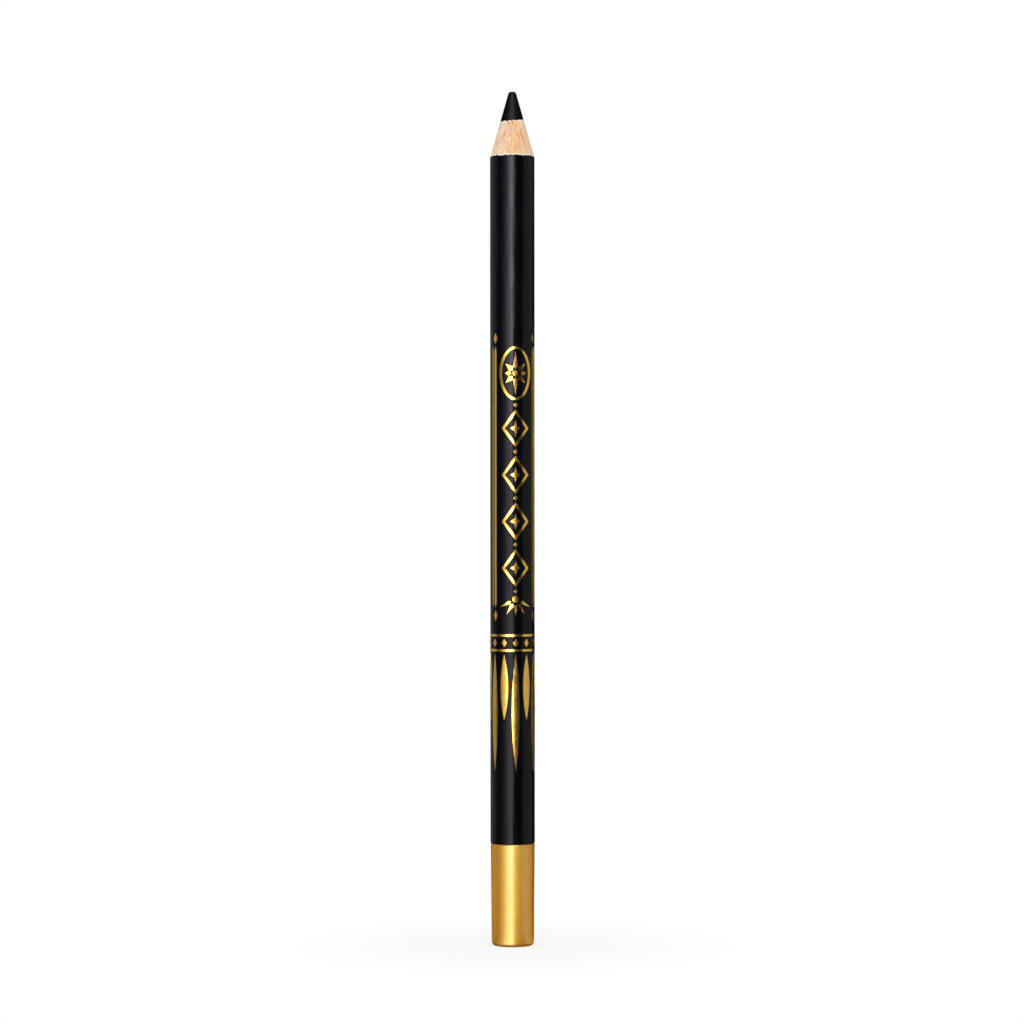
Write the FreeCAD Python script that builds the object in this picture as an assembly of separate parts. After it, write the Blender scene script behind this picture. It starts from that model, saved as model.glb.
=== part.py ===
import FreeCAD, Part
import math
import os

os.makedirs("parts", exist_ok=True)

# A wooden eyebrow pencil, standing on its capped end with the sharpened lead up.
# The origin is the middle of the cap's flat foot, +Z runs along the pencil and -Y faces the viewer.
# Two grooved slats are glued round a cosmetic lead, turned round, lacquered, foil-stamped and sharpened,
# and a metal cap is pressed on a tenon at the foot end. All sizes are in millimetres.

# Barrel and sharpened end
total_length = 143.7
barrel_diameter = 7.5
lacquer_thickness = 0.06
cone_length = 11.15
tip_width = 1.16
tip_corner_radius = 0.5

# Lead, which sits a little off the middle as real ones do
lead_diameter = 4.0
lead_off_centre = 0.05
groove_clearance = 0.01

# End cap and the tenon that carries it
joint_height = 17.3
joint_gap = 0.08
cap_rim_setback = 0.04
cap_taper = 0.16
cap_rim_wall = 0.46
cap_floor = 0.45
cap_foot_radius = 0.65
cap_rim_bevel = 0.12
tenon_clearance = 0.02
tenon_end_gap = 0.8
tenon_bevel = 0.5

# Foil print: its thickness, and how far its column is turned from the viewer's side, in degrees
foil_thickness = 0.03
column_angle = 8.0

# Collar of hanging darts, and above it a band of small lozenges between two rings
band_height = 51.0
band_ring_width = 0.4
band_ring_spacing = 2.5
band_lozenge_count = 12
band_lozenge_width = 0.9
band_lozenge_length = 1.4
dart_count = 12
dart_width = 1.35
dart_gap = 0.45
long_dart = 19.5
short_dart = 11.0

# Fan of petals that hangs from the foot of the column, above the band
fan_petals = 5
fan_angle = 124.0
fan_petal_length = 2.0
fan_petal_width = 0.6
fan_inner_radius = 0.9
fan_root_width = 1.1
fan_to_band = 3.0

# Chain of open lozenges with a star in each and a dot above, between and below them
chain_links = 4
chain_pitch = 7.8
lozenge_width = 4.5
lozenge_length = 6.4
lozenge_stroke = 0.5
star_width = 1.7
star_length = 2.8
star_waist = 0.3
dot_width = 0.75
dot_length = 0.95
fan_to_dot = 1.3

# Medallion that crowns the chain: an oval ring round a compass rose
medallion_width = 5.2
medallion_length = 9.0
medallion_ring_width = 0.42
rose_rays = 8
rose_gap = 0.42
rose_ray_width = 0.84
rose_eye = 1.0
dot_to_medallion = 0.8

# Thick and thin pinstripes beside the column, with a small lozenge beyond each end
stripe_to_column = 0.6
stripe_width = 0.5
hairline_width = 0.22
hairline_gap = 0.35
stripe_point = 0.8
stripe_to_band = 4.5
finial_width = 0.9
finial_length = 1.8
finial_gap = 0.5

# Sizes that follow from the ones above
barrel_radius = barrel_diameter / 2
wood_radius = barrel_radius - lacquer_thickness
shoulder_height = total_length - cone_length
lead_radius = lead_diameter / 2
rim_height = joint_height - joint_gap
cap_rim_radius = barrel_radius - cap_rim_setback
cap_foot_edge = cap_rim_radius - cap_taper
cap_bore_radius = cap_rim_radius - cap_rim_wall
tenon_radius = cap_bore_radius - tenon_clearance
tenon_bottom = cap_floor + tenon_end_gap
band_top = band_height + (band_ring_spacing + band_ring_width) / 2
band_bottom = band_height - (band_ring_spacing + band_ring_width) / 2
fan_reach = fan_inner_radius + fan_petal_length
fan_height = band_top + fan_to_band + fan_reach
chain_bottom = fan_height + fan_to_dot
chain_top = chain_bottom + chain_links * chain_pitch
medallion_height = chain_top + dot_to_medallion + medallion_length / 2
fan_half_width = fan_reach * math.sin(math.radians(fan_angle / 2))
column_half_width = max(medallion_width / 2, lozenge_width / 2, fan_half_width)
stripe_bottom = band_top + stripe_to_band
stripe_length = medallion_height + medallion_length / 2 - stripe_bottom
up = FreeCAD.Vector(0, 0, 1)
towards_back = FreeCAD.Vector(0, 1, 0)
origin = FreeCAD.Vector(0, 0, 0)


def at(x, z):
    """A point of an outline drawn in the upright plane that faces the viewer."""
    return FreeCAD.Vector(x, 0, z)


def rounded_outline(corners):
    """A flat face through (x, z, radius) corners, each corner rounded by an arc of its radius."""
    points = [at(x, z) for x, z, radius in corners]
    edges = []
    joins = []
    for i, (x, z, radius) in enumerate(corners):
        here = points[i]
        back = points[i - 1] - here
        ahead = points[(i + 1) % len(points)] - here
        if radius == 0:
            joins.append((here, here))
            continue
        half_angle = back.getAngle(ahead) / 2
        reach = min(radius / math.tan(half_angle), 0.45 * min(back.Length, ahead.Length))
        entry = here + back.normalize() * reach
        leave = here + ahead.normalize() * reach
        bisector = (back + ahead).normalize()
        fitted = reach * math.tan(half_angle)
        middle = here + bisector * (math.hypot(reach, fitted) - fitted)
        joins.append((entry, leave))
        edges.append(Part.Arc(entry, middle, leave).toShape())
    for i, (entry, leave) in enumerate(joins):
        edges.append(Part.LineSegment(leave, joins[(i + 1) % len(joins)][0]).toShape())
    return Part.Face(Part.Wire(Part.__sortEdges__(edges)))


def turned(corners):
    """A solid of revolution round the pencil's axis from one side of its section."""
    return rounded_outline(corners).revolve(origin, up, 360)


def tube(inner, outer, bottom, top):
    """A plain round tube."""
    return turned([(inner, bottom, 0), (outer, bottom, 0), (outer, top, 0), (inner, top, 0)])


def sharpened_envelope():
    """Everything that the sharpener leaves: the barrel, its cone and the blunt point."""
    return turned([
        (0, 0, 0),
        (barrel_radius, 0, 0),
        (barrel_radius, shoulder_height, 0),
        (tip_width / 2, total_length, tip_corner_radius),
        (0, total_length, 0),
    ])


def lead_bore(clearance):
    """The lead's own cylinder, or the pair of grooves that takes it, from the tenon's end to the point."""
    place = FreeCAD.Vector(-lead_off_centre, 0, tenon_bottom)
    return Part.makeCylinder(lead_radius + clearance, total_length - tenon_bottom, place, up)


def lead_core():
    """The cosmetic lead, pointed together with the wood."""
    return lead_bore(0).common(sharpened_envelope())


def turned_casing():
    """The glued slats after turning, boring and sharpening, with the tenon for the cap."""
    blank = turned([
        (0, tenon_bottom, 0),
        (tenon_radius - tenon_bevel, tenon_bottom, 0),
        (tenon_radius, tenon_bottom + tenon_bevel, 0),
        (tenon_radius, joint_height, 0),
        (wood_radius, joint_height, 0),
        (wood_radius, total_length, 0),
        (0, total_length, 0),
    ])
    return blank.cut(lead_bore(groove_clearance)).common(sharpened_envelope())


def casing_half(casing, side):
    """The slat on one side of the glue seam: side is -1 towards the viewer and 1 behind."""
    reach = barrel_diameter
    corner = FreeCAD.Vector(-reach, min(side, 0) * reach, 0)
    return casing.common(Part.makeBox(2 * reach, reach, total_length, corner))


def barrel_lacquer():
    """The lacquer skin, cut to a bevelled lip where the cone starts."""
    return tube(wood_radius, barrel_radius, joint_height, total_length).common(sharpened_envelope())


def end_cap():
    """An extruded metal cap: flat foot, rounded foot edge, drafted outside, straight bore, bevelled rim."""
    bore_bevel = cap_foot_radius / 2
    return turned([
        (0, 0, 0),
        (cap_foot_edge, 0, cap_foot_radius),
        (cap_rim_radius, rim_height - cap_rim_bevel, 0),
        (cap_rim_radius - cap_rim_bevel, rim_height, 0),
        (cap_bore_radius + cap_rim_bevel, rim_height, 0),
        (cap_bore_radius, rim_height - cap_rim_bevel, 0),
        (cap_bore_radius, cap_floor + bore_bevel, 0),
        (cap_bore_radius - bore_bevel, cap_floor, 0),
        (0, cap_floor, 0),
    ])


def stamp(outline):
    """The foil that a flat die shape leaves on the viewer's side of the barrel."""
    box = outline.BoundBox
    die = outline.extrude(FreeCAD.Vector(0, -barrel_diameter, 0))
    margin = barrel_diameter
    skin = tube(barrel_radius, barrel_radius + foil_thickness, box.ZMin - margin, box.ZMax + margin)
    return skin.common(die).Solids[0]


def placed(piece, angle, height):
    """A copy of a stamped piece, turned round the barrel to the viewer's right and raised."""
    copy = piece.copy()
    copy.rotate(origin, up, angle)
    copy.translate(up * height)
    return copy


def oval(width, length):
    """An oval face round the origin, upright or round."""
    if length > width:
        curve = Part.Ellipse(at(0, length / 2), at(width / 2, 0), origin)
    else:
        curve = Part.Circle(origin, towards_back, width / 2)
    return Part.Face(Part.Wire(curve.toShape()))


def lozenge(width, length):
    """A diamond face round the origin."""
    return rounded_outline([(-width / 2, 0, 0), (0, -length / 2, 0), (width / 2, 0, 0), (0, length / 2, 0)])


def petal(length, width):
    """A leaf face of two arcs, pointed at the origin and at its top."""
    right = Part.Arc(origin, at(width / 2, length / 2), at(0, length)).toShape()
    left = Part.Arc(at(0, length), at(-width / 2, length / 2), origin).toShape()
    return Part.Face(Part.Wire([right, left]))


def ray(length, width, start, angle):
    """A long kite that points outwards from the origin, from a start radius and at an angle from upright."""
    shoulder = start + width / 2
    kite = rounded_outline([
        (0, start, 0),
        (width / 2, shoulder, 0),
        (0, start + length, 0),
        (-width / 2, shoulder, 0),
    ])
    kite.rotate(origin, towards_back, angle)
    return kite


def star():
    """A four-pointed star with narrow arms."""
    waist_width = star_waist * star_width / 2
    waist_length = star_waist * star_length / 2
    return rounded_outline([
        (star_width / 2, 0, 0),
        (waist_width, waist_length, 0),
        (0, star_length / 2, 0),
        (-waist_width, waist_length, 0),
        (-star_width / 2, 0, 0),
        (-waist_width, -waist_length, 0),
        (0, -star_length / 2, 0),
        (waist_width, -waist_length, 0),
    ])


def medallion():
    """An oval ring with a compass rose whose rays reach from its eye towards the ring."""
    inner_width = medallion_width - 2 * medallion_ring_width
    inner_length = medallion_length - 2 * medallion_ring_width
    ring = oval(medallion_width, medallion_length).cut(oval(inner_width, inner_length))
    pieces = [stamp(ring), stamp(oval(rose_eye, rose_eye))]
    start = rose_eye / 2 + rose_gap / 2
    for i in range(rose_rays):
        angle = 360 * i / rose_rays
        across = math.sin(math.radians(angle)) / (inner_width / 2)
        along = math.cos(math.radians(angle)) / (inner_length / 2)
        end = 1 / math.hypot(across, along) - rose_gap
        pieces.append(stamp(ray(end - start, rose_ray_width, start, angle)))
    return [placed(piece, column_angle, medallion_height) for piece in pieces]


def chain():
    """Open lozenges with a star in each, and a dot below, between and above them."""
    inner_width = lozenge_width - 2 * lozenge_stroke
    inner_length = lozenge_length * inner_width / lozenge_width
    link = stamp(lozenge(lozenge_width, lozenge_length).cut(lozenge(inner_width, inner_length)))
    sparkle = stamp(star())
    dot = stamp(lozenge(dot_width, dot_length))
    pieces = [placed(dot, column_angle, chain_bottom)]
    for i in range(chain_links):
        middle = chain_bottom + (i + 0.5) * chain_pitch
        pieces.append(placed(link, column_angle, middle))
        pieces.append(placed(sparkle, column_angle, middle))
        pieces.append(placed(dot, column_angle, middle + chain_pitch / 2))
    return pieces


def fan():
    """Rays that spread downwards from a small round root."""
    pieces = [stamp(oval(fan_root_width, fan_root_width))]
    for i in range(fan_petals):
        angle = 180 + fan_angle * (i / (fan_petals - 1) - 0.5)
        pieces.append(stamp(ray(fan_petal_length, fan_petal_width, fan_inner_radius, angle)))
    return [placed(piece, column_angle, fan_height) for piece in pieces]


def pinstripe(width):
    """An upright stripe with pointed ends, its foot at the origin."""
    half = width / 2
    return stamp(rounded_outline([
        (0, 0, 0),
        (half, stripe_point, 0),
        (half, stripe_length - stripe_point, 0),
        (0, stripe_length, 0),
        (-half, stripe_length - stripe_point, 0),
        (-half, stripe_point, 0),
    ]))


def pinstripes():
    """A thick stripe, a hairline beyond it and two small finials, on both sides of the column."""
    column_edge = math.asin(column_half_width / barrel_radius)
    thick_angle = math.degrees(column_edge + (stripe_to_column + stripe_width / 2) / barrel_radius)
    step = (stripe_width + hairline_width) / 2 + hairline_gap
    thin_angle = thick_angle + math.degrees(step / barrel_radius)
    thick = pinstripe(stripe_width)
    thin = pinstripe(hairline_width)
    finial = stamp(lozenge(finial_width, finial_length))
    below = stripe_bottom - finial_gap - finial_length / 2
    above = stripe_bottom + stripe_length + finial_gap + finial_length / 2
    pieces = []
    for side in (-1, 1):
        pieces.append(placed(thick, column_angle + side * thick_angle, stripe_bottom))
        pieces.append(placed(thin, column_angle + side * thin_angle, stripe_bottom))
        pieces.append(placed(finial, column_angle + side * thick_angle, below))
        pieces.append(placed(finial, column_angle + side * thick_angle, above))
    return pieces


def lozenge_band():
    """Two foil rings round the barrel with a row of small lozenges between them."""
    pieces = []
    for side in (-1, 1):
        bottom = band_height + (side * band_ring_spacing - band_ring_width) / 2
        pieces.append(tube(barrel_radius, barrel_radius + foil_thickness, bottom, bottom + band_ring_width))
    small = stamp(lozenge(band_lozenge_width, band_lozenge_length))
    for i in range(band_lozenge_count):
        pieces.append(placed(small, column_angle + 360 * i / band_lozenge_count, band_height))
    return pieces


def dart_collar():
    """Long and short pointed darts in turn, hanging below the band."""
    top = band_bottom - dart_gap
    long_one = stamp(petal(long_dart, dart_width))
    short_one = stamp(petal(short_dart, dart_width))
    pieces = []
    for i in range(dart_count):
        angle = column_angle + 360 * i / dart_count
        if i % 2 == 0:
            pieces.append(placed(long_one, angle, top - long_dart))
        else:
            pieces.append(placed(short_one, angle, top - short_dart))
    return pieces


def export(name, shape):
    """One STEP file for one named piece or group of pieces."""
    shape.exportStep(os.path.join("parts", name + ".step"))


casing = turned_casing()
export("lead_core", lead_core())
export("casing_half_front", casing_half(casing, -1))
export("casing_half_back", casing_half(casing, 1))
export("barrel_lacquer", barrel_lacquer())
export("end_cap", end_cap())
export("foil_medallion", Part.makeCompound(medallion()))
export("foil_chain", Part.makeCompound(chain() + fan()))
export("foil_pinstripes", Part.makeCompound(pinstripes()))
export("foil_lozenge_band", Part.makeCompound(lozenge_band()))
export("foil_dart_collar", Part.makeCompound(dart_collar()))
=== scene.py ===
import math

import bmesh
import bpy
from mathutils import Matrix, Vector, noise


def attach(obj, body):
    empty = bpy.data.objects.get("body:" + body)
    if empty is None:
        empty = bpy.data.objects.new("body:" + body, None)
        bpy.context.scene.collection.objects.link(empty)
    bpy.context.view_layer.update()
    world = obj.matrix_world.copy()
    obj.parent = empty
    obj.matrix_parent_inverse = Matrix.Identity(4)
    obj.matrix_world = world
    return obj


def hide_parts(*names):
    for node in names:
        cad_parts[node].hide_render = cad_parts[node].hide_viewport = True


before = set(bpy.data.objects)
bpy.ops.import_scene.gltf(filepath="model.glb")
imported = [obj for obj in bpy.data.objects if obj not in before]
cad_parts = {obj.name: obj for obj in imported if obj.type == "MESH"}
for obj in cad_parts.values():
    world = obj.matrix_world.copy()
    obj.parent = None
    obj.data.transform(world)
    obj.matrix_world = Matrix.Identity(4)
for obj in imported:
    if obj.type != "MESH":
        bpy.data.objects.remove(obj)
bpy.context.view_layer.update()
mm = 0.001


# The lead is one rod of black wax and pigment. It is glued in the grooves of the two wooden slats
# and runs from the cap to the tip, where the sharpener has cut it to a cone with a worn, rounded point.
pencil_length = 143.7
barrel_radius = 3.75
shoulder_height = 132.55
tip_radius = 0.58
tip_rounding = 0.5
cone_slope = (barrel_radius - tip_radius) / (pencil_length - shoulder_height)
rod_bottom = 1.25
lead_radius = 2.0
lead_off_centre = 0.05
steps_round = 480
cone_rows = 90
tip_rows = 14
cone_inset = 0.004
lead_shaving = 0.012
torn_depth = 0.35
edge_waves = 9
bite_depth = 0.22
lead_bites = 20
quiet_black = (0.0115, 0.0113, 0.013)
worn_black = (0.02, 0.0196, 0.0218)


def cone_radius(height):
    """Radius of the sharpened cone at a height."""
    return barrel_radius - cone_slope * (height - shoulder_height)


def around(steps, first=0.0, last=360.0):
    """Angles in radians, evenly spaced, the last one left out."""
    return [math.radians(first + (last - first) * i / steps) for i in range(steps)]


def at(radius, angle, height):
    """A point in millimetres at a radius and angle from the pencil's axis."""
    return radius * math.cos(angle), radius * math.sin(angle), height


def waver(angle, waves, seed):
    """Smooth randomness round the pencil between about -1 and 1, with roughly that many waves."""
    reach = 0.27 * waves
    return 1.6 * noise.noise(Vector((reach * math.cos(angle), reach * math.sin(angle), seed)))


def lead_wall(radius, angle):
    """Distance from the pencil's axis to a round wall that is centred on the lead."""
    across = lead_off_centre * math.sin(angle)
    return math.sqrt(radius * radius - across * across) - lead_off_centre * math.cos(angle)


def bites(angle, count, depth, seed):
    """The scalloped edge that a sharpener leaves: a number of bites round the pencil, unevenly deep."""
    scallop = abs(math.sin(count * angle / 2 + 1.8 * waver(angle, count / 3, seed)))
    return depth * (0.64 - scallop) * (1 + 0.6 * waver(angle, count / 2, seed + 20))


def lead_edge(angle):
    """Height on the cone where wood gives way to lead: torn a little by the blade."""
    clean = shoulder_height + (barrel_radius - lead_wall(lead_radius, angle)) / cone_slope
    return clean + 0.07 * waver(angle, edge_waves, 3.3) + bites(angle, lead_bites, bite_depth, 7.1)


def loft(rings, ends_meet=False):
    """A closed skin over rings of points: the last ring meets the first, or each end gets a face."""
    skin = bmesh.new()
    rows = [[skin.verts.new(Vector(point) * mm) for point in ring] for ring in rings]
    for row, following in zip(rows, rows[1:] + rows[:1] if ends_meet else rows[1:]):
        for i in range(len(row)):
            skin.faces.new((row[i - 1], row[i], following[i], following[i - 1]))
    if not ends_meet:
        skin.faces.new(rows[0])
        skin.faces.new(rows[-1])
    bmesh.ops.remove_doubles(skin, verts=skin.verts, dist=1e-8)
    bmesh.ops.recalc_face_normals(skin, faces=skin.faces)
    return skin


def made_piece(name, skin, finish, crease=35):
    """An object from a bmesh, smooth except where faces turn by more than the crease angle."""
    mesh = bpy.data.meshes.new(name)
    skin.to_mesh(mesh)
    skin.free()
    mesh.shade_smooth()
    mesh.set_sharp_from_angle(angle=math.radians(crease))
    piece = bpy.data.objects.new(name, mesh)
    bpy.context.scene.collection.objects.link(piece)
    mesh.materials.append(finish)
    return piece


class Wire:
    """A value that changes over a surface. Sums and products of wires add Math nodes."""

    def __init__(self, graph, socket):
        self.graph = graph
        self.socket = socket

    def maths(self, operation, *values):
        return self.graph.add("ShaderNodeMath", {"operation": operation}, dict(enumerate(values)))

    def __add__(self, other):
        return self.maths("ADD", self, other)

    __radd__ = __add__

    def __sub__(self, other):
        return self.maths("SUBTRACT", self, other)

    def __rsub__(self, other):
        return self.maths("SUBTRACT", other, self)

    def __mul__(self, other):
        return self.maths("MULTIPLY", self, other)

    __rmul__ = __mul__

    def __truediv__(self, other):
        return self.maths("DIVIDE", self, other)

    def __abs__(self):
        return self.maths("ABSOLUTE", self)

    def larger(self, other):
        return self.maths("MAXIMUM", self, other)

    def rise(self, low, high):
        """0 below low, 1 above high and a smooth step between; falls where low is above high."""
        settings = {"interpolation_type": "SMOOTHSTEP"}
        sockets = {"Value": self, "From Min": low, "From Max": high}
        return self.graph.add("ShaderNodeMapRange", settings, sockets)


class Graph:
    """A node tree that is built one call a node."""

    def __init__(self, tree):
        self.tree = tree

    def add(self, kind, settings, sockets, output=0):
        """Makes a node, sets it up, fills or links its inputs and returns one output as a wire."""
        node = self.tree.nodes.new(kind)
        for name, value in settings.items():
            setattr(node, name, value)
        for name, value in sockets.items():
            if isinstance(value, Wire):
                self.tree.links.new(value.socket, node.inputs[name])
            else:
                node.inputs[name].default_value = value
        return Wire(self, node.outputs[output]) if len(node.outputs) else node


class Finish(Graph):
    """A procedural material on one Principled shader, measured in millimetres of the object."""

    def __init__(self, name):
        self.material = bpy.data.materials.new(name)
        self.material.use_nodes = True
        super().__init__(self.material.node_tree)
        self.tree.nodes.clear()
        place = self.add("ShaderNodeTexCoord", {}, {}, "Object")
        self.place = self.stretched(place, (1000, 1000, 1000))

    def stretched(self, place, scale):
        """A place multiplied along each axis."""
        return self.add("ShaderNodeVectorMath", {"operation": "MULTIPLY"}, {0: place, 1: scale})

    def cloud(self, scale, detail=2.0, roughness=0.5, distortion=0.0, place=None):
        """Noise from 0 to 1; scale is in features per millimetre along x, y and z."""
        sockets = {
            "Vector": self.stretched(place or self.place, scale),
            "Scale": 1.0,
            "Detail": detail,
            "Roughness": roughness,
            "Distortion": distortion,
        }
        return self.add("ShaderNodeTexNoise", {}, sockets)

    def blend(self, amount, below, above):
        """A colour between two colours."""
        below, above = (c if isinstance(c, Wire) else (*c, 1.0) for c in (below, above))
        settings = {"data_type": "RGBA"}
        return self.add("ShaderNodeMix", settings, {0: amount, 6: below, 7: above}, 2)

    def bump(self, height, depth):
        """A normal that follows a height, whose full range is depth millimetres."""
        return self.add("ShaderNodeBump", {}, {"Height": height, "Strength": 1.0, "Distance": depth * mm})

    def surface(self, sockets):
        """Ends the material with its Principled shader."""
        shader = self.add("ShaderNodeBsdfPrincipled", {}, sockets)
        self.add("ShaderNodeOutputMaterial", {}, {"Surface": shader})
        return self.material


def lead_rings():
    """Rings from the foot of the rod, up its wall, over the cone and the rounded tip."""
    angles = around(steps_round)
    bend = math.pi / 2 - math.atan(cone_slope)
    reach = tip_rounding * math.tan(bend / 2)
    arc_centre = tip_radius - reach
    cone_top = pencil_length - reach * math.cos(math.atan(cone_slope))
    rings = [[at(lead_wall(lead_radius, a), a, rod_bottom) for a in angles]]
    rings.append([at(lead_wall(lead_radius, a), a, lead_edge(a) - torn_depth) for a in angles])
    for i in range(cone_rows + 1):
        share = i / cone_rows
        row = []
        for a in angles:
            height = lead_edge(a) * (1 - share) + cone_top * share
            shave = lead_shaving * waver(a, 7, 0.11 * height) * math.sin(math.pi * share)
            row.append(at(cone_radius(height) - cone_inset + shave, a, height))
        rings.append(row)
    for i in range(1, tip_rows + 1):
        turn = math.atan(cone_slope) + bend * i / tip_rows
        radius = arc_centre + tip_rounding * math.cos(turn)
        height = pencil_length - tip_rounding + tip_rounding * math.sin(turn)
        rings.append([at(radius, a, height) for a in angles])
    return rings


# A stand-in for wax: a very dark metal, because a metal's edge tint keeps its glancing gloss dim.
lead_finish = Finish("lead_wax")
strokes = lead_finish.cloud((5.0, 5.0, 0.5), detail=3.0, roughness=0.6)
specks = lead_finish.cloud((9.0, 9.0, 6.0), detail=2.0)
lead_material = lead_finish.surface({
    "Base Color": lead_finish.blend(strokes.rise(0.4, 0.75), quiet_black, worn_black),
    "Roughness": 0.4 + 0.14 * strokes,
    "Normal": lead_finish.bump(strokes + 0.4 * specks, 0.02),
    "Metallic": 1.0,
    "Specular Tint": (0.12, 0.12, 0.12, 1.0),
})
lead = made_piece("lead", loft(lead_rings()), lead_material)
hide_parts("lead_core")
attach(lead, "root")


# The casing is two grooved slats of pale wood, glued round the lead and turned to a round bar.
# Its foot is turned down to a tenon for the cap, and the sharpener bares the grain on the cone.
wood_radius = 3.69
groove_clearance = 0.01
joint_height = 17.3
tenon_radius = 3.23
tenon_bevel = 0.5
lip_height = 132.76
lip_root = lip_height - 0.6
lip_bites = 26
wood_shaving = 0.01
groove_top_drop = 0.3
# The painted shade on the tenon ends a little above the joint.
gap_shade_top = joint_height + 0.2
gap_shade_fade = 0.1
seam_bevel = 0.03
seam_bevel_angle = 0.5
pale_wood = (0.9, 0.69, 0.49)
peach_wood = (0.9, 0.56, 0.32)
tawny_streak = (0.62, 0.26, 0.09)
grain_brown = (0.52, 0.17, 0.045)
torn_edge = (1.0, 0.9, 0.78)
# A very dark brown, painted on the tenon as shade in the gap under the lacquer.
gap_shade_brown = (0.02, 0.012, 0.006)
ring_spacing = 0.54
ring_direction = (0.35, 1.0, 0.05)
# Dark marks on the front of the cone: the x and z of both ends, half the width, and the strength.
front_marks = (
    (-0.7, 138.8, -0.66, 137.8, 0.14, 0.75),
    (0.0, 138.8, 0.04, 137.9, 0.12, 0.95),
    (1.42, 137.3, 1.5, 136.3, 0.14, 0.65),
    (1.48, 136.45, 1.68, 135.55, 0.16, 0.62),
    (1.66, 135.75, 1.84, 135.1, 0.15, 0.6),
    (1.95, 135.15, 2.05, 134.3, 0.11, 0.4),
    (0.02, 135.35, 0.92, 133.7, 0.09, 0.65),
    (0.02, 135.35, -0.42, 134.85, 0.08, 0.45),
    (-1.1, 137.2, -1.55, 135.5, 0.11, 0.5),
    (0.55, 136.8, 1.22, 135.6, 0.09, 0.5),
    (-0.15, 137.9, -0.35, 136.4, 0.08, 0.45),
    (-0.35, 136.4, -0.1, 135.8, 0.08, 0.45),
    (-0.6, 134.5, -0.95, 133.5, 0.1, 0.4),
    (1.0, 134.9, 1.35, 133.5, 0.1, 0.4),
)


def lip_edge(angle):
    """Height on the cone where the lacquer ends, in the small bites that the blade leaves."""
    return lip_height + 0.06 * waver(angle, edge_waves, 1.7) + bites(angle, lip_bites, bite_depth, 5.2)


def grain_mark(place):
    """How dark a short grain mark makes the wood at a place on the cone, from 0 to 1."""
    x, y, z = place
    bent_x = x + 0.16 * noise.noise(Vector((0.7 * x, 0.0, 1.3 * z)))
    darkest = 0.0
    for start_x, start_z, end_x, end_z, half_width, strength in front_marks if y < 0 else ():
        run = Vector((end_x - start_x, end_z - start_z))
        gone = Vector((bent_x - start_x, z - start_z))
        share = min(max(gone.dot(run) / run.length_squared, 0), 1)
        reach = half_width * (0.6 + 0.8 * math.sin(math.pi * share))
        nearness = 1 - (gone - run * share).length / reach
        darkest = max(darkest, strength * min(1.6 * nearness, 1))
    return darkest


def slat_section(angle, bevel):
    """The closed outline of a slat where an upright plane at this angle cuts it."""
    inner = lead_wall(lead_radius + groove_clearance, angle)
    lip = lip_edge(angle)
    top = lead_edge(angle)
    outline = [
        (inner, rod_bottom),
        (tenon_radius - tenon_bevel, rod_bottom),
        (tenon_radius, rod_bottom + tenon_bevel),
        (tenon_radius, joint_height),
        (wood_radius - bevel, joint_height),
        (wood_radius - bevel, lip_root),
    ]
    for i in range(cone_rows + 1):
        height = lip + (top - lip) * i / cone_rows
        shave = wood_shaving * waver(angle, 9, 0.15 * height + 40)
        outline.append((cone_radius(height) + min(shave, 0) - bevel, height))
    outline.append((inner, top - groove_top_drop))
    return [at(radius, angle, height) for radius, height in outline]


def slat(name, first, finish):
    """Half of the casing, over the half turn that starts at an angle in degrees."""
    angles = around(steps_round // 2, first, first + 180)
    shoulder = math.radians(seam_bevel_angle)
    start, end = math.radians(first), math.radians(first + 180)
    sections = [slat_section(start, seam_bevel), slat_section(start + shoulder, 0)]
    sections += [slat_section(a, 0) for a in angles[1:]]
    sections += [slat_section(end - shoulder, 0), slat_section(end, seam_bevel)]
    skin = loft(sections)
    mark_layer = skin.verts.layers.float.new("grain_mark")
    for vert in skin.verts:
        if vert.co.z > shoulder_height * mm:
            vert[mark_layer] = grain_mark(vert.co / mm)
    edge_layer = skin.loops.layers.uv.new("edge_distance")
    for face in skin.faces:
        for corner in face.loops:
            x, y, z = corner.vert.co / mm
            angle = math.atan2(y, x)
            corner[edge_layer].uv = z - lip_edge(angle), lead_edge(angle) - z
    return made_piece(name, skin, finish)


wood_finish = Finish("shaved_wood")
edge_map = wood_finish.add("ShaderNodeUVMap", {"uv_map": "edge_distance"}, {})
from_lip = wood_finish.add("ShaderNodeSeparateXYZ", {}, {"Vector": edge_map}, "X")
from_lead = wood_finish.add("ShaderNodeSeparateXYZ", {}, {"Vector": edge_map}, "Y")
flat_place = wood_finish.stretched(wood_finish.place, (1, 1, 0))
outward = wood_finish.add("ShaderNodeVectorMath", {"operation": "NORMALIZE"}, {0: flat_place})
along = wood_finish.stretched(wood_finish.place, (0, 0, 1))
grain_place = wood_finish.add(
    "ShaderNodeVectorMath", {"operation": "MULTIPLY_ADD"}, {0: outward, 1: (2.8, 2.8, 0), 2: along}
)
sideways = wood_finish.add("ShaderNodeSeparateXYZ", {}, {"Vector": outward}, "X")
wood_height = wood_finish.add("ShaderNodeSeparateXYZ", {}, {"Vector": wood_finish.place}, "Z")
mark_strength = wood_finish.add("ShaderNodeAttribute", {"attribute_name": "grain_mark"}, {}, "Fac")
drift = wood_finish.cloud((0.7, 0.7, 0.35), detail=2.0, distortion=0.5, place=grain_place)
fibres = wood_finish.cloud((6.0, 6.0, 0.5), detail=4.0, roughness=0.65, distortion=0.2, place=grain_place)
breaks = wood_finish.cloud((1.6, 1.6, 0.7), detail=2.0, place=grain_place)
sway = wood_finish.cloud((0.8, 0.8, 0.3), detail=3.0, roughness=0.6)
across_rings = wood_finish.add(
    "ShaderNodeVectorMath", {"operation": "DOT_PRODUCT"}, {0: wood_finish.place, 1: ring_direction}, 1
)
ring_phase = across_rings * (2 * math.pi / ring_spacing) + 11.0 * sway
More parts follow.
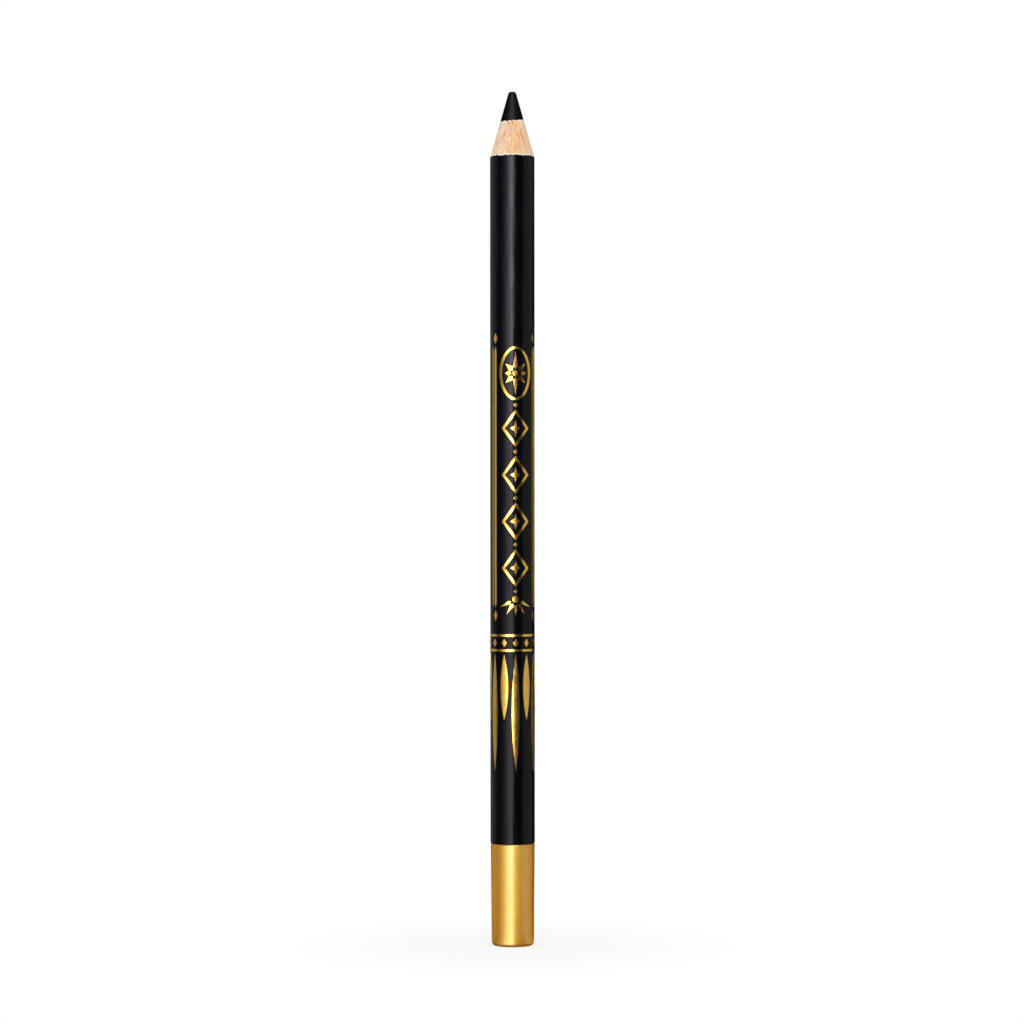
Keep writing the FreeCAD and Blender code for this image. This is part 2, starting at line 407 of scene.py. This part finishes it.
late_wood = ring_phase.maths("SINE", ring_phase).rise(0.3, 0.95) * breaks.rise(0.34, 0.58)
peach_share = (drift + 0.3 * (0.55 - abs(sideways - 0.2))).rise(0.35, 0.65)
wood_tone = wood_finish.blend(peach_share, pale_wood, peach_wood)
wood_tone = wood_finish.blend(0.38 * fibres.rise(0.44, 0.68), wood_tone, tawny_streak)
wood_tone = wood_finish.blend(0.3 * late_wood * fibres.rise(0.15, 0.5), wood_tone, tawny_streak)
torn = from_lip.rise(0.24, 0.1).larger(from_lead.rise(0.22, 0.08))
wood_tone = wood_finish.blend(0.95 * torn, wood_tone, torn_edge)
mark_share = mark_strength * (0.55 + 0.45 * fibres.rise(0.3, 0.6))
wood_tone = wood_finish.blend(mark_share, wood_tone, grain_brown)
# Painted shade: the tenon is very dark brown up to just above the joint, so the fine gap between lacquer and
# cap looks dark.
wood_tone = wood_finish.blend(wood_height.rise(gap_shade_top, gap_shade_top - gap_shade_fade), wood_tone, gap_shade_brown)
wood_material = wood_finish.surface({
    "Base Color": wood_tone,
    "Roughness": 0.62 + 0.15 * fibres,
    "Normal": wood_finish.bump(fibres - 0.5 * late_wood, 0.03),
    "Specular IOR Level": 0.12,
})
for half_name, half_node, half_start in (
    ("slat_front", "casing_half_front", 180),
    ("slat_back", "casing_half_back", 0),
):
    half = slat(half_name, half_start, wood_material)
    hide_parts(half_node)
    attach(half, "root")


# The lacquer is a black skin baked on the turned wood in several coats. The blade trims it to a
# bevelled, slightly bitten lip at the cone, and a knife trims it square above the metal cap.
lacquer_edge_rounding = 0.02
lacquer_black = (0.0016, 0.0015, 0.0021)
lacquer_dust = (0.005, 0.005, 0.006)


def lacquer_section(angle):
    """The closed outline of the lacquer skin at an angle."""
    lip = lip_edge(angle)
    soft = lacquer_edge_rounding
    outline = [
        (wood_radius, joint_height),
        (barrel_radius - soft, joint_height),
        (barrel_radius - 0.3 * soft, joint_height + 0.3 * soft),
        (barrel_radius, joint_height + soft),
        (barrel_radius, shoulder_height - 3 * soft),
        (barrel_radius - 0.15 * soft, shoulder_height),
        (cone_radius(shoulder_height + 2 * soft) - 0.1 * soft, shoulder_height + 2 * soft),
        (cone_radius(lip - soft), lip - soft),
        (cone_radius(lip) - cone_inset, lip - 0.2 * soft),
        (cone_radius(lip) - 3 * cone_inset, lip - 1.5 * soft),
        (wood_radius, lip_root),
    ]
    return [at(radius, angle, height) for radius, height in outline]


lacquer_finish = Finish("black_lacquer")
ripple = lacquer_finish.cloud((0.9, 0.9, 0.22), detail=2.0)
pinholes = lacquer_finish.cloud((6.0, 6.0, 3.0), detail=2.0)
lacquer_material = lacquer_finish.surface({
    "Base Color": lacquer_finish.blend(pinholes.rise(0.62, 0.8), lacquer_black, lacquer_dust),
    "Roughness": 0.165 + 0.1 * ripple,
    "Normal": lacquer_finish.bump(ripple + 0.06 * pinholes, 0.05),
    "Specular IOR Level": 0.2,
    "Specular Tint": (0.9, 0.88, 1.0, 1.0),
})
lacquer = made_piece(
    "lacquer",
    loft([lacquer_section(a) for a in around(steps_round)], ends_meet=True),
    lacquer_material,
)
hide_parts("barrel_lacquer")
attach(lacquer, "root")


# The cap is a cup of thin aluminium, drawn with a slight taper, etched and anodised a satin gold.
# It is pressed on the tenon, with its rolled rim against the lacquer and its flat foot closed.
cap_rim_height = 17.22
cap_rim_radius = 3.71
cap_foot_edge = 3.55
cap_bore_radius = 3.25
cap_floor = 0.45
cap_foot_rounding = 0.65
cap_rim_rounding = 0.25
cap_mouth_rounding = 0.12
axis_hole = 0.0001
rounding_steps = 10
cap_amber = (0.6, 0.19, 0.001)
cap_amber_worn = (0.64, 0.215, 0.003)
cap_speck = (0.34, 0.085, 0.001)


def rounded(corners):
    """An outline through (radius, height, rounding) corners, each rounding drawn as a short arc."""
    outline = []
    for i, (radius, height, rounding) in enumerate(corners):
        here = Vector((radius, height))
        if not rounding:
            outline.append(here)
            continue
        back = (Vector(corners[i - 1][:2]) - here).normalized()
        ahead = (Vector(corners[(i + 1) % len(corners)][:2]) - here).normalized()
        half_angle = back.angle(ahead) / 2
        centre = here + (back + ahead).normalized() * rounding / math.sin(half_angle)
        entry = here + back * rounding / math.tan(half_angle) - centre
        turn = entry.angle_signed(here + ahead * rounding / math.tan(half_angle) - centre)
        for step in range(rounding_steps + 1):
            outline.append(centre + Matrix.Rotation(-turn * step / rounding_steps, 2) @ entry)
    return outline


def cap_rings():
    """The cap's section turned round the axis, from the middle of its foot to the middle inside."""
    section = rounded([
        (axis_hole, 0, 0),
        (cap_foot_edge, 0, cap_foot_rounding),
        (cap_rim_radius, cap_rim_height, cap_rim_rounding),
        (cap_bore_radius, cap_rim_height, cap_mouth_rounding),
        (cap_bore_radius, cap_floor, cap_foot_rounding / 2),
        (axis_hole, cap_floor, 0),
    ])
    return [[at(radius, a, height) for a in around(steps_round // 2)] for radius, height in section]


cap_finish = Finish("satin_gold")
haze = cap_finish.cloud((1.1, 1.1, 0.6), detail=3.0)
nicks = cap_finish.cloud((3.2, 3.2, 2.4), detail=3.0, roughness=0.6)
drawn = cap_finish.cloud((9.0, 9.0, 0.5), detail=2.0)
# A stand-in for anodised metal, tuned by trial against the photo's tones: amber under a broad
# yellow gloss and a clear coat. At glancing angles the gloss narrows and the coat fades by choice.
glancing = cap_finish.add("ShaderNodeLayerWeight", {}, {"Blend": 0.5}, "Facing").rise(0.08, 0.6)
cap_tone = cap_finish.blend(haze.rise(0.35, 0.65), cap_amber, cap_amber_worn)
cap_material = cap_finish.surface({
    "Base Color": cap_finish.blend(0.35 * nicks.rise(0.64, 0.74), cap_tone, cap_speck),
    "Metallic": 0.2,
    "Roughness": (0.46 + 0.05 * haze + 0.06 * nicks.rise(0.6, 0.75)) * (1 - 0.5 * glancing),
    "IOR": 3.05,
    "Specular Tint": (0.94, 0.97, 0.16, 1.0),
    "Normal": cap_finish.bump(haze + 0.15 * drawn + 0.25 * nicks, 0.008),
    "Coat Weight": 1 - 0.85 * glancing,
    "Coat Roughness": 0.27,
    "Coat IOR": 1.75,
})
cap = made_piece("cap", loft(cap_rings()), cap_material)
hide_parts("end_cap")
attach(cap, "root")


# The ornament is gold foil, hot-stamped on the lacquer by engraved dies that roll over the barrel.
# Each die is drawn flat here, and a node tree lays its foil on the round barrel and repeats it.
foil_thickness = 0.03
foil_cut = 0.22
column_angle = 8.0
foil_gold = (0.93, 0.54, 0.09)
foil_pale = (1.0, 0.64, 0.14)
point_spacing = 0.2
large_oval_steps = 96
small_oval_steps = 32


def stamping_tree():
    """The node tree that lifts foil off a flat die, wraps it round the barrel and repeats it."""
    tree = bpy.data.node_groups.new("hot_stamping", "GeometryNodeTree")
    tree.is_modifier = True
    face = tree.interface
    face.new_socket("Die", in_out="INPUT", socket_type="NodeSocketGeometry")
    for name, kind in (
        ("Barrel Radius", "Float"),
        ("Foil Thickness", "Float"),
        ("Copies", "Int"),
        ("First Turn", "Float"),
        ("Turn Between", "Float"),
        ("First Height", "Float"),
        ("Rise Between", "Float"),
        ("Foil", "Material"),
    ):
        face.new_socket(name, in_out="INPUT", socket_type="NodeSocket" + kind)
    face.new_socket("Foil", in_out="OUTPUT", socket_type="NodeSocketGeometry")
    graph = Graph(tree)
    group = tree.nodes.new("NodeGroupInput")
    given = {socket.name: Wire(graph, socket) for socket in group.outputs if socket.name}
    lifted = graph.add(
        "GeometryNodeExtrudeMesh",
        {"mode": "FACES"},
        {"Mesh": given["Die"], "Offset Scale": given["Foil Thickness"], "Individual": False},
    )
    under = graph.add("GeometryNodeFlipFaces", {}, {"Mesh": given["Die"]})
    both = graph.add("GeometryNodeJoinGeometry", {}, {"Geometry": lifted})
    tree.links.new(under.socket, both.socket.node.inputs["Geometry"])
    closed = graph.add("GeometryNodeMergeByDistance", {}, {"Geometry": both, "Distance": 1e-8})
    place = graph.add("GeometryNodeInputPosition", {}, {})
    x, y, z = (graph.add("ShaderNodeSeparateXYZ", {}, {"Vector": place}, axis) for axis in "XYZ")
    turn = x / given["Barrel Radius"]
    radius = given["Barrel Radius"] - y
    wrapped_place = {
        "X": radius * x.maths("SINE", turn),
        "Y": radius * x.maths("COSINE", turn) * -1,
        "Z": z,
    }
    wrapped = graph.add(
        "GeometryNodeSetPosition",
        {},
        {"Geometry": closed, "Position": graph.add("ShaderNodeCombineXYZ", {}, wrapped_place)},
    )
    index = graph.add("GeometryNodeInputIndex", {}, {})
    height = given["First Height"] + index * given["Rise Between"]
    angle = given["First Turn"] + index * given["Turn Between"]
    points = graph.add(
        "GeometryNodePoints",
        {},
        {"Count": given["Copies"], "Position": graph.add("ShaderNodeCombineXYZ", {}, {"Z": height})},
    )
    copies = graph.add(
        "GeometryNodeInstanceOnPoints",
        {},
        {
            "Points": points,
            "Instance": wrapped,
            "Rotation": graph.add("ShaderNodeCombineXYZ", {}, {"Z": angle}),
        },
    )
    real = graph.add("GeometryNodeRealizeInstances", {}, {"Geometry": copies})
    coloured = graph.add("GeometryNodeSetMaterial", {}, {"Geometry": real, "Material": given["Foil"]})
    graph.add("NodeGroupOutput", {}, {0: coloured})
    return tree


foil_finish = Finish("gold_foil")
foil_mottle = foil_finish.cloud((1.2, 1.2, 0.8), detail=3.0)
foil_grit = foil_finish.cloud((7.0, 7.0, 7.0), detail=2.0)
foil_material = foil_finish.surface({
    "Base Color": foil_finish.blend(foil_mottle.rise(0.3, 0.7), foil_gold, foil_pale),
    "Metallic": 1.0,
    "Roughness": 0.18 + 0.08 * foil_mottle,
    "Normal": foil_finish.bump(foil_mottle + 0.1 * foil_grit, 0.02),
})
stamping = stamping_tree()


def die(outlines):
    """A flat die: a list of outlines, or of (outer, inner) pairs for open shapes, in (x, z) points."""
    skin = bmesh.new()
    for outline in outlines:
        if isinstance(outline, tuple):
            outer, inner = [[skin.verts.new((x, 0, z)) for x, z in edge] for edge in outline]
            for i in range(len(outer)):
                skin.faces.new((outer[i - 1], outer[i], inner[i], inner[i - 1]))
        else:
            skin.faces.new([skin.verts.new((x, 0, z)) for x, z in outline])
    cuts = int(barrel_radius / foil_cut)
    for i in range(-cuts, cuts + 1):
        everything = [*skin.verts, *skin.edges, *skin.faces]
        cut_at = (i * foil_cut, 0, 0)
        bmesh.ops.bisect_plane(skin, geom=everything, plane_co=cut_at, plane_no=(1, 0, 0), dist=1e-5)
    for vert in skin.verts:
        vert.co.x = barrel_radius * math.asin(vert.co.x / barrel_radius)
        vert.co *= mm
    for face in skin.faces:
        face.normal_update()
        if face.normal.y > 0:
            face.normal_flip()
    return skin


def stamped(outlines, first_height, copies=1, rise=0.0, first_turn=column_angle, turn=0.0):
    """The foil that a die leaves, as a bmesh: copies of it, each one risen and turned from the last."""
    plate = bpy.data.meshes.new("die")
    flat = die(outlines)
    flat.to_mesh(plate)
    flat.free()
    carrier = bpy.data.objects.new("die", plate)
    bpy.context.scene.collection.objects.link(carrier)
    modifier = carrier.modifiers.new("stamping", "NODES")
    modifier.node_group = stamping
    values = {
        "Barrel Radius": barrel_radius * mm,
        "Foil Thickness": foil_thickness * mm,
        "Copies": copies,
        "First Turn": math.radians(first_turn),
        "Turn Between": math.radians(turn),
        "First Height": first_height * mm,
        "Rise Between": rise * mm,
        "Foil": foil_material,
    }
    for item in stamping.interface.items_tree:
        if item.in_out == "INPUT" and item.name in values:
            modifier[item.identifier] = values[item.name]
    view = bpy.context.evaluated_depsgraph_get()
    result = bpy.data.meshes.new_from_object(carrier.evaluated_get(view))
    bpy.data.objects.remove(carrier)
    return result


def foil_piece(name, node, stampings):
    """One piece from several stampings."""
    skin = bmesh.new()
    for part in stampings:
        if isinstance(part, bmesh.types.BMesh):
            joined = bpy.data.meshes.new("ring")
            part.to_mesh(joined)
            part.free()
            part = joined
        skin.from_mesh(part)
        bpy.data.meshes.remove(part)
    piece = made_piece(name, skin, foil_material)
    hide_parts(node)
    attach(piece, "root")


def polygon(corners, spacing=point_spacing):
    """An outline through corners, with points close enough to bend round the barrel."""
    points = []
    for i, (x, z) in enumerate(corners):
        back_x, back_z = corners[i - 1]
        count = max(1, round(math.hypot(x - back_x, z - back_z) / spacing))
        for step in range(1, count + 1):
            share = step / count
            points.append((back_x + (x - back_x) * share, back_z + (z - back_z) * share))
    return points


def lozenge(width, length, spacing=point_spacing):
    """A diamond round the origin."""
    return polygon([(-width / 2, 0), (0, -length / 2), (width / 2, 0), (0, length / 2)], spacing)


def oval(width, length, steps=large_oval_steps):
    """An oval round the origin."""
    return [(width / 2 * math.cos(a), length / 2 * math.sin(a)) for a in around(steps)]


def turned_outline(points, degrees):
    """An outline turned in its plane, clockwise from upright."""
    s, c = math.sin(math.radians(degrees)), math.cos(math.radians(degrees))
    return [(x * c + z * s, z * c - x * s) for x, z in points]


def ray(length, width, start, degrees):
    """A long kite that points outwards from the origin at an angle from upright."""
    shoulder = start + width / 2
    corners = [(0, start), (width / 2, shoulder), (0, start + length), (-width / 2, shoulder)]
    return turned_outline(polygon(corners), degrees)


# A collar of long and short darts hangs below a band of small lozenges between two foil rings.
band_height = 51.0
band_ring_width = 0.4
band_ring_spacing = 2.5
band_count = 12
band_lozenge_width = 0.9
band_lozenge_length = 1.4
band_bottom = band_height - (band_ring_spacing + band_ring_width) / 2
band_top = band_height + (band_ring_spacing + band_ring_width) / 2
darts_of_a_kind = 6
dart_width = 1.35
dart_gap = 0.45
dart_top = band_bottom - dart_gap
dart_steps = 48
long_dart = 19.5
short_dart = 11.0


def foil_ring(bottom):
    """A foil ring round the whole barrel."""
    outer = barrel_radius + foil_thickness
    low, high = bottom, bottom + band_ring_width
    section = [(barrel_radius, low), (outer, low), (outer, high), (barrel_radius, high)]
    sections = [[at(radius, a, height) for radius, height in section] for a in around(steps_round // 2)]
    return loft(sections, ends_meet=True)


def dart(length):
    """A leaf of two arcs, pointed at the origin and at its top."""
    half = dart_width / 2
    radius = (half * half + length * length / 4) / (2 * half)
    right = []
    for i in range(dart_steps):
        height = length * i / dart_steps
        reach = math.sqrt(radius * radius - (height - length / 2) ** 2) - (radius - half)
        right.append((reach, height))
    left = [(-reach, length - height) for reach, height in right]
    return right + left


foil_piece("foil_band", "foil_lozenge_band", [
    foil_ring(band_bottom),
    foil_ring(band_top - band_ring_width),
    stamped(
        [lozenge(band_lozenge_width, band_lozenge_length)],
        band_height,
        copies=band_count,
        turn=360 / band_count,
    ),
])
dart_turn = 360 / darts_of_a_kind
darts = []
for dart_length, dart_start in ((long_dart, column_angle), (short_dart, column_angle + dart_turn / 2)):
    darts.append(stamped(
        [dart(dart_length)],
        dart_top - dart_length,
        copies=darts_of_a_kind,
        first_turn=dart_start,
        turn=dart_turn,
    ))
foil_piece("foil_collar", "foil_dart_collar", darts)


# The column climbs from a fan of rays through open lozenges with a star in each, linked by dots.
fan_rays = 5
fan_angle = 124.0
fan_ray_length = 2.0
fan_ray_width = 0.6
fan_inner_radius = 0.9
fan_root = 1.1
fan_gap = 3.0
fan_height = band_top + fan_gap + fan_inner_radius + fan_ray_length
fan_to_dot = 1.3
dot_width = 0.75
dot_length = 0.95
chain_bottom = fan_height + fan_to_dot
chain_links = 4
chain_pitch = 7.8
link_width = 4.5
link_length = 6.4
link_stroke = 0.5
star_width = 1.7
star_length = 2.8
star_waist = 0.3


def star():
    """A four-pointed star with narrow arms."""
    corners = []
    for x, z in ((1, 0), (0, 1), (-1, 0), (0, -1)):
        waist_x, waist_z = (x - z) * star_waist, (x + z) * star_waist
        corners.append((x * star_width / 2, z * star_length / 2))
        corners.append((waist_x * star_width / 2, waist_z * star_length / 2))
    return polygon(corners)


inner_width = link_width - 2 * link_stroke
inner_length = link_length * inner_width / link_width
inner_spacing = point_spacing * inner_width / link_width
open_link = (lozenge(link_width, link_length), lozenge(inner_width, inner_length, inner_spacing))
fan_outlines = [oval(fan_root, fan_root, small_oval_steps)]
for i in range(fan_rays):
    ray_turn = 180 + fan_angle * (i / (fan_rays - 1) - 0.5)
    fan_outlines.append(ray(fan_ray_length, fan_ray_width, fan_inner_radius, ray_turn))
foil_piece("foil_column", "foil_chain", [
    stamped([open_link, star()], chain_bottom + chain_pitch / 2, copies=chain_links, rise=chain_pitch),
    stamped([lozenge(dot_width, dot_length)], chain_bottom, copies=chain_links + 1, rise=chain_pitch),
    stamped(fan_outlines, fan_height),
])


# The medallion at the top of the column is an oval ring round an eight-rayed compass rose.
medallion_width = 5.2
medallion_length = 9.0
medallion_stroke = 0.42
rose_rays = 8
rose_clearance = 0.42
rose_eye = 1.0
rose_ray_width = 0.84
dot_to_medallion = 0.8
medallion_height = chain_bottom + chain_links * chain_pitch + dot_to_medallion + medallion_length / 2
opening_width = medallion_width - 2 * medallion_stroke
opening_length = medallion_length - 2 * medallion_stroke
medallion_ring = (oval(medallion_width, medallion_length), oval(opening_width, opening_length))
rose = [medallion_ring, oval(rose_eye, rose_eye, small_oval_steps)]
ray_start = (rose_eye + rose_clearance) / 2
for i in range(rose_rays):
    ray_turn = 360 * i / rose_rays
    direction = math.radians(ray_turn)
    across, upright = math.sin(direction) / opening_width, math.cos(direction) / opening_length
    opening_edge = 0.5 / math.hypot(across, upright)
    rose.append(ray(opening_edge - rose_clearance - ray_start, rose_ray_width, ray_start, ray_turn))
foil_piece("foil_rose", "foil_medallion", [stamped(rose, medallion_height)])


# A thick and a thin pinstripe stand on each side of the column, with a small finial past each end.
stripe_width = 0.5
hairline_width = 0.22
stripe_point = 0.8
stripe_to_column = 0.6
hairline_gap = 0.35
stripe_rise = 4.5
stripe_bottom = band_top + stripe_rise
stripe_length = medallion_height + medallion_length / 2 - stripe_bottom
finial_width = 0.9
finial_length = 1.8
finial_clearance = 0.5
column_edge = math.asin(medallion_width / 2 / barrel_radius)


def pinstripe(width):
    """An upright stripe with pointed ends, its foot at the origin."""
    half = width / 2
    return polygon([
        (0, 0),
        (half, stripe_point),
        (half, stripe_length - stripe_point),
        (0, stripe_length),
        (-half, stripe_length - stripe_point),
        (-half, stripe_point),
    ], 1.0)


stripe_turn = math.degrees(column_edge + (stripe_to_column + stripe_width / 2) / barrel_radius)
hairline_reach = (stripe_width + hairline_width) / 2 + hairline_gap
hairline_turn = stripe_turn + math.degrees(hairline_reach / barrel_radius)
finial = lozenge(finial_width, finial_length)
finial_reach = finial_clearance + finial_length / 2
stripes = []
for outline, aside, stamp_height in (
    (pinstripe(stripe_width), stripe_turn, stripe_bottom),
    (pinstripe(hairline_width), hairline_turn, stripe_bottom),
    (finial, stripe_turn, stripe_bottom - finial_reach),
    (finial, stripe_turn, stripe_bottom + stripe_length + finial_reach),
):
    stripes.append(stamped(
        [outline],
        stamp_height,
        copies=2,
        first_turn=column_angle - aside,
        turn=2 * aside,
    ))
foil_piece("foil_stripes", "foil_pinstripes", stripes)


# The studio: a white floor and room, a tall narrow softbox beside the camera and a lamp overhead.
# A tent of dark and bright cards and a ceiling card show in gloss alone, and a dark ring round the foot is a
# painted shadow that only gloss sees.
world = bpy.data.worlds.new("room")
bpy.context.scene.world = world
world.use_nodes = True
world.node_tree.nodes.clear()
room = Graph(world.node_tree)
ambient = 0.65


def seen_directly(graph):
    """1 for rays that see the background: from the camera, in gloss or through glass."""
    total = 0
    for ray_kind in ("Is Camera Ray", "Is Glossy Ray", "Is Transmission Ray"):
        total = graph.add("ShaderNodeLightPath", {}, {}, ray_kind) + total
    return total.maths("MINIMUM", total, 1.0)


strength = ambient + (1 - ambient) * seen_directly(room)
background = room.add("ShaderNodeBackground", {}, {"Color": (1, 1, 1, 1), "Strength": strength})
room.add("ShaderNodeOutputWorld", {}, {"Surface": background})

# The floor glows white, and keeps a faint shadow that fades out some millimetres from the foot.
floor_radius = 4.0
shadow_strength = 0.3
shadow_full = 8.0
shadow_gone = 45.0
floor_skin = bmesh.new()
bmesh.ops.create_circle(floor_skin, cap_ends=True, segments=128, radius=floor_radius)
floor_finish = Finish("white_floor")
floor_white = floor_finish.add("ShaderNodeBsdfDiffuse", {}, {"Color": (0.96, 0.96, 0.96, 1)})
floor_glow = floor_finish.add("ShaderNodeEmission", {}, {"Color": (1, 1, 1, 1), "Strength": 1.0})
floor_place = {0: floor_finish.place}
from_foot = floor_finish.add("ShaderNodeVectorMath", {"operation": "LENGTH"}, floor_place, 1)
shadow_keeping = shadow_strength * from_foot.rise(shadow_gone, shadow_full)
floor_mix = floor_finish.add(
    "ShaderNodeMixShader",
    {},
    {0: (1 - shadow_keeping) * seen_directly(floor_finish), 1: floor_white, 2: floor_glow},
)
floor_finish.add("ShaderNodeOutputMaterial", {}, {"Surface": floor_mix})
floor = made_piece("floor", floor_skin, floor_finish.material)

tent_radius = 1.0
tent_foot_radius = 0.00315
ceiling_height = 2.2
ceiling_glow = 4.0
card_lift = 0.00002
shade_lift = 0.00001
shade_inner_radius = 0.0029
shade_outer_radius = 0.004
# Points from the foot out and up a card: radius and height in metres, and lean in degrees.
tent_lean = [
    (tent_foot_radius, 0.0, -8.5),
    (tent_radius, 0.0, -8.5),
    (tent_radius, 0.26, 0.0),
    (tent_radius, 0.95, 13.0),
    (tent_radius, ceiling_height, 17.0),
]
# First and last azimuth of a card in degrees, the glow of its wall and that of its strip of ground.
# The cards are set so that the highlights of the front view fall where the photo has them.
tent_cards = [
    (-170, -142, 0.12, 0.08),
    (-142, -112, 0.45, 0.33),
    (-112, -85, 0.45, 0.3),
    (-85, -58, 0.05, 0.05),
    (-58, -42, 0.3, 0.25),
    (-42, -26, 1.0, 0.7),
    (-26, -11, 3.8, 2.2),
    (-11, 1, 4.1, 3.2),
    (1, 10, 4.2, 4.0),
    (10, 18, 0.05, 0.05),
    (18, 60, 0.0, 0.0),
    (60, 92, 0.56, 0.54),
    (92, 125, 0.45, 0.45),
    (125, 172, 0.03, 0.03),
    (172, 190, 2.6, 1.8),
]


def gloss_card(name, glow, spans):
    """A glowing card that only gloss sees: rows of (radius, height, azimuth) points, joined in turn."""
    card = bmesh.new()
    rows = []
    for span in spans:
        row = []
        for radius, height, azimuth in span:
            a = math.radians(azimuth)
            row.append(card.verts.new((radius * math.sin(a), -radius * math.cos(a), height + card_lift)))
        rows.append(row)
    for row, following in zip(rows, rows[1:]):
        for i in range(len(row) - 1):
            card.faces.new((row[i], row[i + 1], following[i + 1], following[i]))
    card_finish = Finish(name)
    light = card_finish.add("ShaderNodeEmission", {}, {"Color": (1, 1, 1, 1), "Strength": glow})
    card_finish.add("ShaderNodeOutputMaterial", {}, {"Surface": light})
    sheet = made_piece(name, card, card_finish.material)
    sheet.visible_camera = False
    sheet.visible_diffuse = False
    sheet.visible_transmission = False
    sheet.visible_volume_scatter = False
    sheet.visible_shadow = False


for number, (first, last, wall_glow, ground_glow) in enumerate(tent_cards):
    steps = max(2, round((last - first) / 3))
    azimuths = [first + (last - first) * i / steps for i in range(steps + 1)]
    for part, glow, bends in (("wall", wall_glow, tent_lean[1:]), ("ground", ground_glow, tent_lean[:2])):
        spans = []
        for azimuth in azimuths:
            spans.append([(radius, height, azimuth + lean) for radius, height, lean in bends])
        gloss_card("%s_card_%d" % (part, number), glow, spans)
# The foot shade is a painted shadow: a dark ring under the cap's rounded foot, seen only in gloss.
for name, glow, height, radii, step in (
    ("ceiling", ceiling_glow, ceiling_height, (0.0, tent_radius), 15),
    ("foot_shade", 0.0, shade_lift, (shade_inner_radius, shade_outer_radius), 5),
):
    gloss_card(name, glow, [[(radius, height, azimuth) for radius in radii] for azimuth in range(0, 361, step)])

softbox_angle = math.radians(-5.0)
softbox_distance = 0.92
softbox_width = 0.16
softbox_height = 0.8
softbox_lift = 0.005
softbox_radiance = 6.8
softbox_data = bpy.data.lights.new("softbox", "AREA")
softbox_data.shape = "RECTANGLE"
softbox_data.size = softbox_width
softbox_data.size_y = softbox_height
softbox_data.energy = softbox_radiance * math.pi * softbox_width * softbox_height
softbox_data.color = (0.96, 0.97, 1.0)
softbox = bpy.data.objects.new("softbox", softbox_data)
bpy.context.scene.collection.objects.link(softbox)
softbox.location = (
    softbox_distance * math.sin(softbox_angle),
    -softbox_distance * math.cos(softbox_angle),
    softbox_height / 2 + softbox_lift,
)
softbox.rotation_euler = (math.radians(90), 0, softbox_angle)
softbox.visible_camera = False

top_light_width = 1.2
top_light_height = 1.9
top_light_radiance = 1.6
top_light_data = bpy.data.lights.new("top_light", "AREA")
top_light_data.shape = "SQUARE"
top_light_data.size = top_light_width
top_light_data.energy = top_light_radiance * math.pi * top_light_width**2
top_light = bpy.data.objects.new("top_light", top_light_data)
bpy.context.scene.collection.objects.link(top_light)
top_light.location = (0, 0, top_light_height)
top_light.visible_camera = False

# The camera stands level with the middle of the pencil, with a long lens.
camera_data = bpy.data.cameras.new("camera")
camera_data.sensor_width = 36.0
camera_data.lens = 119.5
camera_data.clip_start = 0.01
camera_data.clip_end = 50
camera = bpy.data.objects.new("camera", camera_data)
bpy.context.scene.collection.objects.link(camera)
camera.location = (-0.00009, -0.5725, 0.07293)
camera.rotation_euler = (math.radians(90), math.radians(0.045), 0)
bpy.context.scene.camera = camera
bpy.context.scene.view_settings.view_transform = "Standard"
